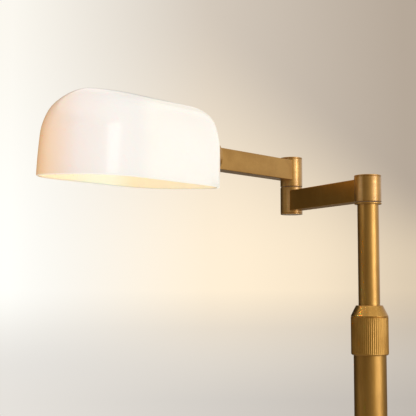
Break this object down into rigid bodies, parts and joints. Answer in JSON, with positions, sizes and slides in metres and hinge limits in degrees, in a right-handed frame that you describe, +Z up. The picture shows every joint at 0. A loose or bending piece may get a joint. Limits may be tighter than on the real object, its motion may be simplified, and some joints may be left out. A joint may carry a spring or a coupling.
{
  "type": "bridge floor lamp",
  "caption": "Brass bridge floor lamp: round weighted base, telescoping column with a reeded clamp collar, folding swing arm and an opal glass shade that rolls about the arm.",
  "frame": {"origin": "on the floor, at the middle of the base's underside, on the column's axis", "axes": "+Z up along the column; +X to the right and +Y away for a viewer in front of the lamp; the arms and shade stand as in the picture at rest"},
  "size_m": [0.4492, 0.2937, 1.2518],
  "materials": {
    "felt": "needled felt",
    "cast_iron": "painted casting",
    "brass_base": "satin, aged and lacquered",
    "rubber_black": "moulded",
    "steel_zinc": "zinc plated",
    "brass_tube": "satin, brushed round the tube, aged and lacquered",
    "brass_collar": "reeded barrel and turned cone, aged and lacquered",
    "brass_collet": "turned, unfinished",
    "nylon": "machined, dark",
    "lead_sheath": "extruded",
    "brass_joint": "satin, turned, aged and lacquered",
    "brass_bar": "satin, brushed along the bar, aged and lacquered",
    "silicone": "moulded",
    "opal_glass": "white opal, glossy, lit from inside",
    "porcelain": "unglazed",
    "contact_copper": "sheet",
    "bulb_cap_nickel": "rolled sheet",
    "bulb_frost": "frosted",
    "bulb_inner_glass": "clear",
    "filament": "coated, lit"
  },
  "bodies": {
    "stand": {"floor_pad": "felt", "base_weight": "cast_iron", "base_cover": "brass_base", "cord_grommet": "rubber_black", "base_washer": "steel_zinc", "base_nut": "steel_zinc", "column_nipple": "steel_zinc", "column_foot": "brass_base", "lower_tube": "brass_tube", "tube_plug": "steel_zinc", "clamp_collet": "brass_collet", "collar_washer": "nylon", "column_lead": "lead_sheath"},
    "collar": {"height_collar": "brass_collar"},
    "riser": {"upper_tube": "brass_tube", "slide_bush": "nylon", "pole_head": "brass_tube", "hub_washer": "nylon", "hub_spring": "steel_zinc", "hub_nut": "steel_zinc", "riser_lead": "lead_sheath"},
    "lower_arm": {"hub_sleeve": "brass_joint", "hub_cap": "brass_joint", "lower_arm_bar": "brass_bar", "lower_knuckle": "brass_joint", "lower_knuckle_cap": "brass_joint", "elbow_pivot": "steel_zinc", "elbow_washer": "nylon", "elbow_spring": "steel_zinc", "elbow_nut": "steel_zinc", "lower_arm_lead": "lead_sheath"},
    "upper_arm": {"upper_knuckle": "brass_joint", "upper_knuckle_cap": "brass_joint", "upper_arm_bar": "brass_bar", "bar_end_plug": "brass_collet", "swivel_washer": "nylon", "upper_arm_lead": "lead_sheath"},
    "shade_head": {"swivel_nipple": "steel_zinc", "swivel_spring": "steel_zinc", "swivel_nut": "steel_zinc", "shade_disc": "brass_joint", "outer_gasket": "silicone", "glass_shade": "opal_glass", "inner_gasket": "silicone", "clamp_washer": "steel_zinc", "clamp_nut": "steel_zinc", "socket_cup": "brass_joint", "socket_body": "porcelain", "socket_shell": "brass_collet", "socket_contact": "contact_copper", "bulb_cap": "bulb_cap_nickel", "bulb_glass": "bulb_frost", "bulb_stem": "bulb_inner_glass", "bulb_filaments": "filament"}
  },
  "joints": [
    {"name": "collar_turn", "type": "hinge", "parent": "stand", "child": "collar", "pos_m": [0, 0, 1.03], "axis": [0, 0, 1], "range_deg": [0, 180]},
    {"name": "riser_slide", "type": "slide", "parent": "stand", "child": "riser", "axis": [0, 0, 1], "range_m": [-0.09, 0.2]},
    {"name": "hub_turn", "type": "hinge", "parent": "riser", "child": "lower_arm", "pos_m": [0, 0, 1.173], "axis": [0, 0, 1], "range_deg": [-170, 170]},
    {"name": "elbow_turn", "type": "hinge", "parent": "lower_arm", "child": "upper_arm", "pos_m": [-0.06492, 0.12741, 1.1887], "axis": [0, 0, 1], "range_deg": [-273, 47]},
    {"name": "shade_roll", "type": "hinge", "parent": "upper_arm", "child": "shade_head", "pos_m": [-0.17448, -0.00316, 1.20715], "axis": [-0.6428, -0.766, 0], "range_deg": [-86, 93]}
  ]
}
